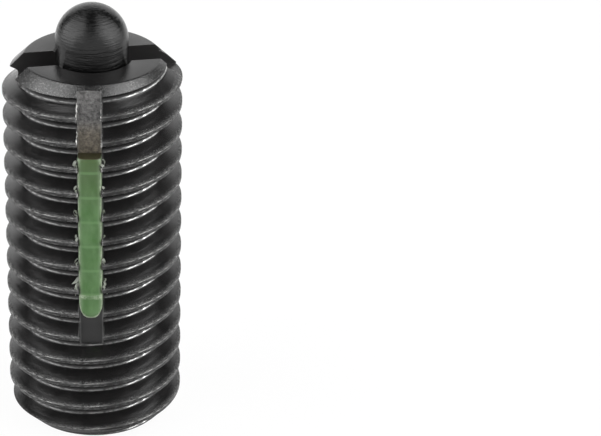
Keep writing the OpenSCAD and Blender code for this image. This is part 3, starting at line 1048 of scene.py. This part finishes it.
def makeBurrs(material):
    # each burr climbs a groove edge from a crest's lower side up its upper flank
    chance = random.Random(burr["seed"])
    slope = math.tan(math.radians(sleeve["flank"]))
    side = sleeve["grooveWidth"] / 2 + burr["clear"]
    pieces = []
    for k, share in enumerate(burr["lengths"]):
        crestZ = strip["firstCrest"] - k * sleeve["pitch"]
        for sign in (-1, 1):
            curve = bpy.data.curves.new("burr_line", "CURVE")
            curve.dimensions = "3D"
            curve.bevel_depth = burr["r"]
            curve.bevel_resolution = 1
            curve.use_fill_caps = True
            line = curve.splines.new("POLY")
            line.points.add(burr["steps"])
            start = chance.uniform(-0.14, -0.05)
            for i, point in enumerate(line.points):
                rise = start + share * burr["longest"] * (i + chance.uniform(-0.3, 0.3)) / burr["steps"]
                r = crestR - burr["r"] - burr["clear"] - max(0, rise - sleeve["crestHalf"]) / slope
                x = side + chance.uniform(-1, 1) * burr["wander"]
                point.co = (sign * x, -math.sqrt(r * r - x * x), crestZ + rise, 1)
                point.radius = chance.uniform(0.15, 1.0)
            piece = bpy.data.objects.new("groove_burr", curve)
            bpy.context.scene.collection.objects.link(piece)
            pickOnly(piece)
            bpy.ops.object.convert(target="MESH")
            pieces.append(bpy.context.object)
    bpy.ops.object.select_all(action="DESELECT")
    for piece in pieces:
        piece.select_set(True)
    bpy.context.view_layer.objects.active = pieces[0]
    bpy.ops.object.join()
    burrs = bpy.context.object
    burrs.name = "groove_burrs_dressed"
    return finishPiece(burrs, "sleeve_body", material, 60)


# flash: the thread crests shave thin curls off the strip's sides as it is pressed in
flash = {"thickness": 0.018, "curl": 0.105, "depth": 0.13, "seed": 4, "above": 0.36, "out": 0.1, "r": 4.68}


def makeFlashCurl(material):
    # a hook-shaped ribbon, drawn in the XZ plane and drawn out along Y with a taper
    curl = flash["curl"]
    points = [(-1.1 * curl, -1.6 * curl), (-0.9 * curl, -0.7 * curl)] + arc((0, 0), curl, 200, -30, 7)
    ribbon = drawOutline("flash_curl", points, closed=False)
    pickOnly(ribbon)
    bpy.ops.object.mode_set(mode="EDIT")
    bpy.ops.mesh.select_all(action="SELECT")
    lengths = 3
    step = (0.012, -flash["depth"] / lengths, 0.018)
    for _ in range(lengths):
        bpy.ops.mesh.extrude_region_move(TRANSFORM_OT_translate={"value": step})
        bpy.ops.transform.resize(value=(0.78, 1, 0.86))
    bpy.ops.object.mode_set(mode="OBJECT")
    bpy.ops.object.modifier_add(type="SOLIDIFY")
    ribbon.modifiers[-1].thickness = flash["thickness"]
    bpy.ops.object.modifier_apply(modifier=ribbon.modifiers[-1].name)
    ribbon.data.materials.append(material)
    return ribbon


def makeFlashPieces(material):
    chance = random.Random(flash["seed"])
    first = makeFlashCurl(material)
    pitch = sleeve["pitch"]
    low, high = stripLow.z + 1.0, stripHigh.z + 0.1
    crests = [strip["firstCrest"] - pitch * n for n in range(20)]
    curls = []
    for height in (z for z in crests if low < z < high):
        for side in (-1, 1):
            for n in range(chance.choice((2, 2, 3))):
                curl = first.copy()
                curl.data = first.data.copy()
                bpy.context.scene.collection.objects.link(curl)
                size = chance.uniform(0.6, 1.2)
                curl.scale = (size * -side, size, size * chance.uniform(1.2, 2.1))
                curl.rotation_euler = (chance.uniform(-0.4, 0.4), chance.uniform(-0.7, 0.5) * side,
                                       chance.uniform(-0.6, 0.6))
                out = strip["half"] + flash["out"] * chance.uniform(0.6, 1.2)
                rise = flash["above"] * (0.3 + 0.55 * n) * chance.uniform(0.8, 1.1)
                curl.location = (side * out, -flash["r"] + 0.12 * n, height + rise)
                curls.append(curl)
    bpy.data.objects.remove(first)
    bpy.ops.object.select_all(action="DESELECT")
    for curl in curls:
        curl.select_set(True)
    bpy.context.view_layer.objects.active = curls[0]
    bpy.ops.object.transform_apply(location=True, rotation=True, scale=True)
    bpy.ops.object.join()
    pieces = bpy.context.object
    pieces.name = "strip_flash_dressed"
    bpy.ops.object.mode_set(mode="EDIT")
    bpy.ops.mesh.select_all(action="SELECT")
    bpy.ops.mesh.normals_make_consistent(inside=False)
    bpy.ops.object.mode_set(mode="OBJECT")
    return finishPiece(pieces, "sleeve_body", material, 60)


# place in mm, angles in degrees
cameraSet = {"place": (5.273, -124.314, 79.025), "down": 28.32, "turn": 1.2, "lens": 150.72,
             "shift": 0.2653}


def makeCamera():
    data = bpy.data.cameras.new("camera")
    data.lens = cameraSet["lens"]
    data.sensor_width = 36
    data.shift_x = cameraSet["shift"]
    data.clip_start, data.clip_end = 0.001, 20
    camera = bpy.data.objects.new("camera", data)
    camera.location = [v * mm for v in cameraSet["place"]]
    camera.rotation_euler = (math.radians(90 - cameraSet["down"]), 0, math.radians(cameraSet["turn"]))
    bpy.context.scene.collection.objects.link(camera)
    bpy.context.scene.camera = camera


# soft boxes: azimuth from the front towards +X, elevation of the middle, distance and size in metres;
# lean tips the top towards the rear, in degrees
softBoxes = [
    {"name": "left_box", "azimuth": -74, "elevation": 33, "distance": 0.35, "size": (0.38, 0.52),
     "lean": -24, "level": 2.2},
    {"name": "right_box", "azimuth": 76, "elevation": 33, "distance": 0.35, "size": (0.36, 0.52),
     "lean": 24, "level": 2.8},
    {"name": "rear_box", "azimuth": 180, "elevation": 20, "distance": 0.60, "size": (0.9, 0.42),
     "lean": 0, "level": 1.0},
]


def makeSoftBoxes():
    middle = Vector((0, 0, sleeveTop / 2 * mm))
    for box in softBoxes:
        lamp = bpy.data.lights.new(box["name"], "AREA")
        lamp.shape = "RECTANGLE"
        lamp.size, lamp.size_y = box["size"]
        lamp.energy = box["level"] * math.pi * box["size"][0] * box["size"][1]
        a, e = math.radians(box["azimuth"]), math.radians(box["elevation"])
        away = Vector((math.sin(a) * math.cos(e), -math.cos(a) * math.cos(e), math.sin(e)))
        holder = bpy.data.objects.new(box["name"], lamp)
        holder.location = middle + away * box["distance"]
        holder.rotation_euler = away.to_track_quat("Z", "Y").to_euler()
        holder.rotation_euler.rotate_axis("Z", math.radians(box["lean"]))
        holder.visible_camera = False
        bpy.context.scene.collection.objects.link(holder)


def paleMaterial(name, glow):
    # a white surface: mostly plain white to the eye and in reflections, the rest takes light and shadow
    material = bpy.data.materials.new(name)
    material.use_nodes = True
    tree = material.node_tree
    tree.nodes.clear()
    matte = addNode(tree, "BsdfDiffuse", {"Color": (0.85, 0.85, 0.85, 1)})
    white = addNode(tree, "Emission", {"Color": (1, 1, 1, 1), "Strength": 1.02})
    path = addNode(tree, "LightPath")
    seen = addNode(tree, "Math", {"operation": "MAXIMUM"},
                   {0: (path, "Is Camera Ray"), 1: (path, "Is Glossy Ray")})
    seenAll = addNode(tree, "Math", {"operation": "MAXIMUM"}, {0: seen, 1: (path, "Is Transmission Ray")})
    share = addNode(tree, "Math", {"operation": "MULTIPLY", 1: glow}, {0: seenAll})
    mixed = addNode(tree, "MixShader", {}, {0: share, 1: (matte, "BSDF"), 2: (white, "Emission")})
    addNode(tree, "OutputMaterial", {}, {"Surface": (mixed, "Shader")})
    return material


# radii in metres; the board's spread to either side of the rear, and its rise, in degrees
stageSet = {"floorR": 3.0, "floorGlow": 0.93, "boardR": 0.8, "boardGlow": 1.0, "spread": 100, "rise": 42}


def makeStage():
    bpy.ops.object.select_all(action="DESELECT")
    bpy.ops.mesh.primitive_circle_add(vertices=64, radius=stageSet["floorR"], fill_type="NGON",
                                      location=(0, 0, 0))
    floor = bpy.context.object
    floor.name = "floor"
    floor.data.materials.append(paleMaterial("white table", stageSet["floorGlow"]))
    # a low white board behind, curved round the rear
    bpy.ops.object.select_all(action="DESELECT")
    bpy.ops.mesh.primitive_plane_add(size=1, location=(0, 0, 0))
    board = bpy.context.object
    board.name = "backdrop"
    bpy.ops.object.mode_set(mode="EDIT")
    bpy.ops.mesh.select_all(action="SELECT")
    bpy.ops.mesh.merge(type="CENTER")
    reach, spread = stageSet["boardR"], stageSet["spread"]
    height = reach * math.tan(math.radians(stageSet["rise"]))
    start = math.radians(90 - spread)
    bpy.ops.transform.translate(value=(reach * math.cos(start), reach * math.sin(start), 0))
    bpy.ops.mesh.extrude_region_move(TRANSFORM_OT_translate={"value": (0, 0, height)})
    bpy.ops.mesh.select_all(action="SELECT")
    bpy.ops.mesh.spin(steps=40, angle=math.radians(2 * spread), center=(0, 0, 0), axis=(0, 0, 1))
    bpy.ops.object.mode_set(mode="OBJECT")
    board.data.materials.append(paleMaterial("white board", stageSet["boardGlow"]))
    print("board from", [round(v, 2) for v in board.dimensions])


def makeWorld():
    world = bpy.data.worlds.new("studio")
    bpy.context.scene.world = world
    world.use_nodes = True
    tree = world.node_tree
    tree.nodes.clear()
    sky = addNode(tree, "Background", {"Color": (0.05, 0.05, 0.05, 1), "Strength": 1.0})
    addNode(tree, "OutputWorld", {}, {"Surface": (sky, "Background")})


scene = bpy.context.scene
scene.view_settings.view_transform = "Standard"
makeCamera()
makeSoftBoxes()
makeStage()
makeWorld()
print("camera, light and floor set")

sleeveSteel = makeOxideSteel("black oxide steel, threaded", sleeve["grooveFloor"], stripHigh.z)
makeSleeve(sleeveSteel)
makePlug(sleeveSteel)
makePin(makePinSteel("black oxide steel, fine turned"))
makeSpring(makeSpringWire("spring wire, bright drawn"))
makeStrip(makePolyamide("polyamide, pressed", sleeve["grooveWidth"] / 2, stripLow.z, stripHigh.z,
                        strip["endLength"], strip["firstCrest"], sleeve["pitch"]))
makeFlashPieces(makeFlash("polyamide, thin flash"))
makeBurrs(makeBareSteel("bare steel, torn burr"))

bpy.ops.object.select_all(action="DESELECT")
